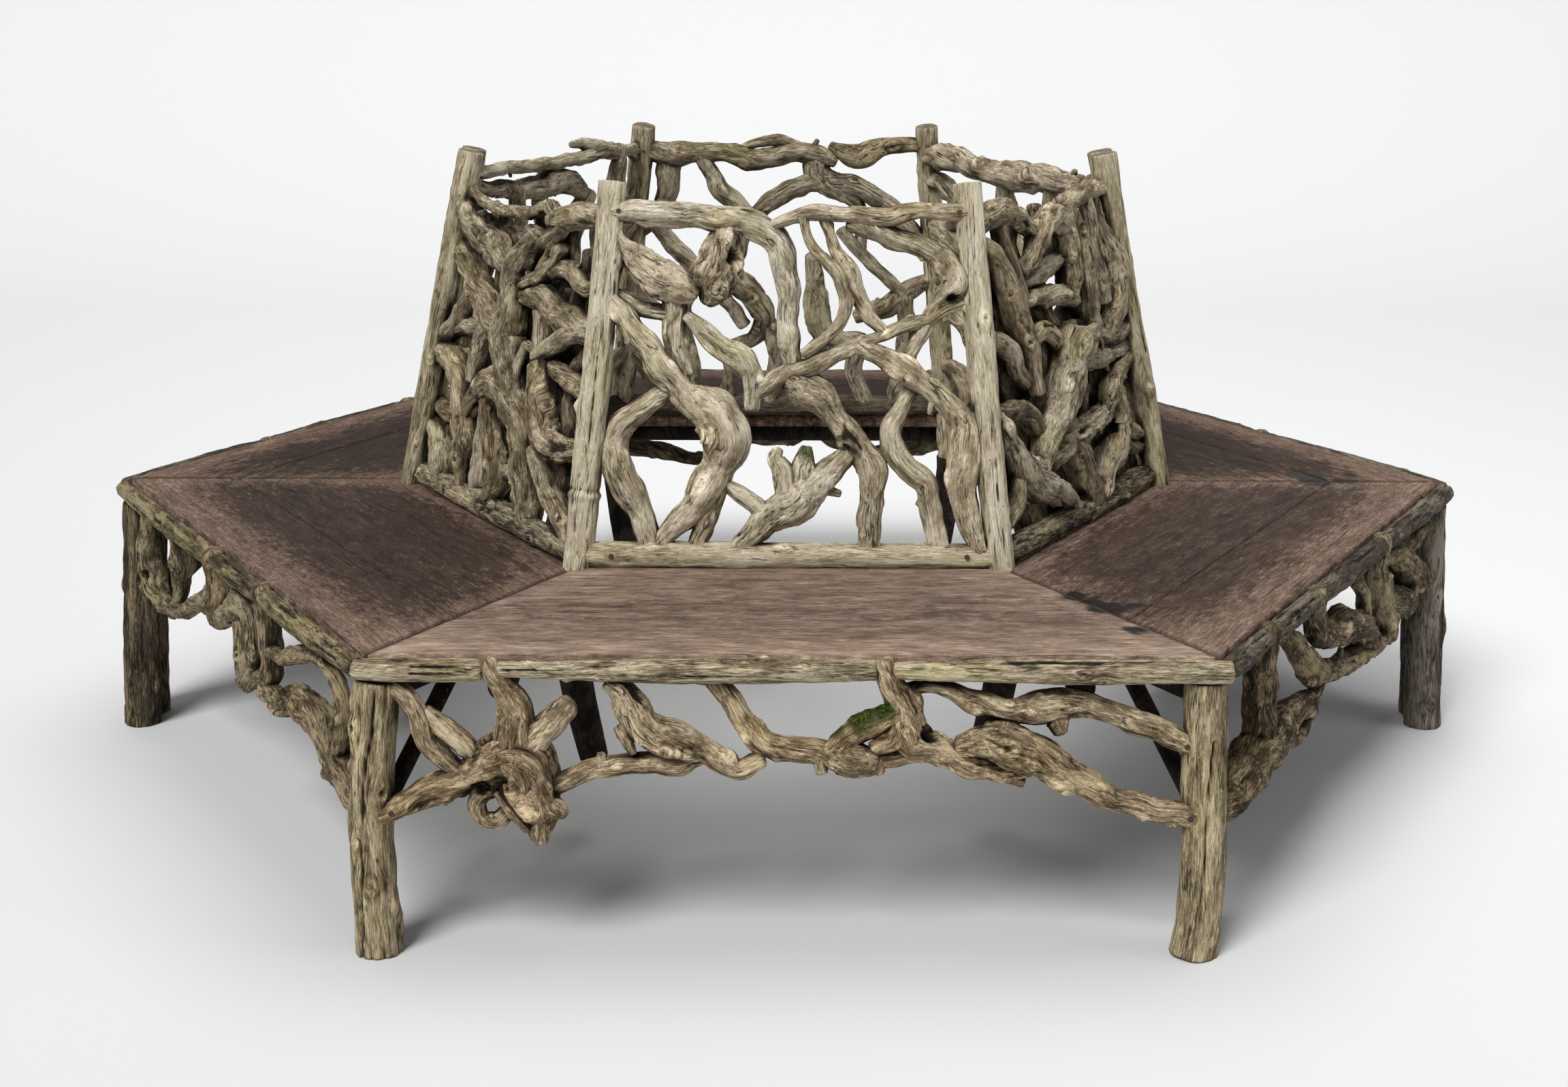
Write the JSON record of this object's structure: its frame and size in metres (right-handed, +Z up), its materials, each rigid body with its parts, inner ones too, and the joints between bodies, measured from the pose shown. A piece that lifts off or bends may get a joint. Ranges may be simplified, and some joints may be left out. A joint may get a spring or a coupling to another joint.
{
  "type": "tree bench",
  "caption": "Six-sided ring bench for a tree trunk, of old boards on log legs, with leaning driftwood branch backs and branchwork aprons.",
  "frame": {"origin": "middle of the ring on the ground", "axes": "+Z up, -Y out of the front section, the two halves meet on the plane Y 0"},
  "size_m": [2.409, 2.1069, 1.0355],
  "materials": {
    "boards": "weathered",
    "driftwood": "weathered",
    "bark_logs": "rough bark and bare wood",
    "iron": "rusted"
  },
  "bodies": {
    "rear_half": {"rear_seat_planks": "boards", "rear_edge_poles": "driftwood", "rear_top_rails": "driftwood", "rear_back_branches": "driftwood", "rear_apron": "driftwood", "rear_left_seat_planks": "boards", "rear_left_edge_poles": "driftwood", "rear_left_top_rails": "driftwood", "rear_left_back_branches": "driftwood", "rear_left_apron": "driftwood", "rear_right_seat_planks": "boards", "rear_right_edge_poles": "driftwood", "rear_right_top_rails": "driftwood", "rear_right_back_branches": "driftwood", "rear_right_apron": "driftwood", "rear_left_leg": "bark_logs", "rear_left_post": "driftwood", "rear_right_leg": "bark_logs", "rear_right_post": "driftwood", "left_rear_half_leg": "bark_logs", "left_rear_half_post": "driftwood", "right_rear_half_leg": "bark_logs", "right_rear_half_post": "driftwood", "rear_half_back_rails": "driftwood", "rear_half_bearers": "bark_logs", "rear_half_inner_rails": "bark_logs", "rear_half_inner_legs": "bark_logs", "rear_half_braces": "bark_logs", "rear_half_nails": "iron"},
    "front_half": {"front_seat_planks": "boards", "front_edge_poles": "driftwood", "front_top_rails": "driftwood", "front_back_branches": "driftwood", "front_apron": "driftwood", "front_left_seat_planks": "boards", "front_left_edge_poles": "driftwood", "front_left_top_rails": "driftwood", "front_left_back_branches": "driftwood", "front_left_apron": "driftwood", "front_right_seat_planks": "boards", "front_right_edge_poles": "driftwood", "front_right_top_rails": "driftwood", "front_right_back_branches": "driftwood", "front_right_apron": "driftwood", "front_left_leg": "bark_logs", "front_left_post": "driftwood", "front_right_leg": "bark_logs", "front_right_post": "driftwood", "left_front_half_leg": "bark_logs", "left_front_half_post": "driftwood", "right_front_half_leg": "bark_logs", "right_front_half_post": "driftwood", "front_half_back_rails": "driftwood", "front_half_bearers": "bark_logs", "front_half_inner_rails": "bark_logs", "front_half_inner_legs": "bark_logs", "front_half_braces": "bark_logs", "front_half_nails": "iron", "coupling_screws": "iron"}
  },
  "joints": [
    {"name": "halves_part", "type": "slide", "parent": "rear_half", "child": "front_half", "axis": [0, -1, 0], "range_m": [0, 1.1]}
  ]
}
